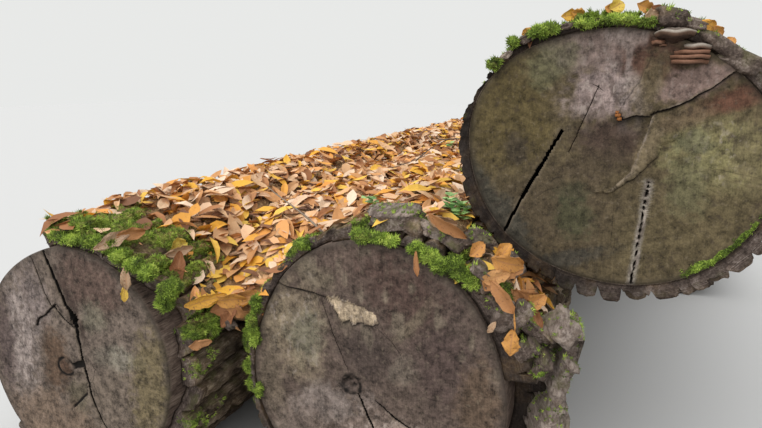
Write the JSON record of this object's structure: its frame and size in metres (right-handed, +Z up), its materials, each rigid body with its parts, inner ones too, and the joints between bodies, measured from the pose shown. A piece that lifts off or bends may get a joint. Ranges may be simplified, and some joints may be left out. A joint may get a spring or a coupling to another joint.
{
  "type": "stack of logs",
  "caption": "Stack of thick round sawlogs with deeply ridged bark, cracked sawn ends, bracket fungi and fallen leaves in the valley between the lower logs.",
  "frame": {"origin": "on the ground, under the middle of the whole stack", "axes": "+Z up, +Y along the logs away from the sawn fronts that the picture shows, +X across the stack to the right of someone who faces those fronts"},
  "size_m": [3.1436, 6.489, 1.7328],
  "materials": {
    "end_grain": "weathered sawn end grain, dark and damp",
    "bark": "rough, deeply furrowed",
    "leaves": "dry fallen leaves",
    "fungus": "corky bracket fungus",
    "moss": "soft green moss"
  },
  "bodies": {
    "root": {"log_left": "end_grain", "log_middle": "end_grain", "log_top": "end_grain", "log_bearer": "end_grain", "bark_left": "bark", "bark_middle": "bark", "bark_top": "bark", "bark_bearer": "bark", "leaf_litter": "leaves", "fungus_upper": "fungus", "fungus_lower": "fungus"}
  },
  "joints": []
}
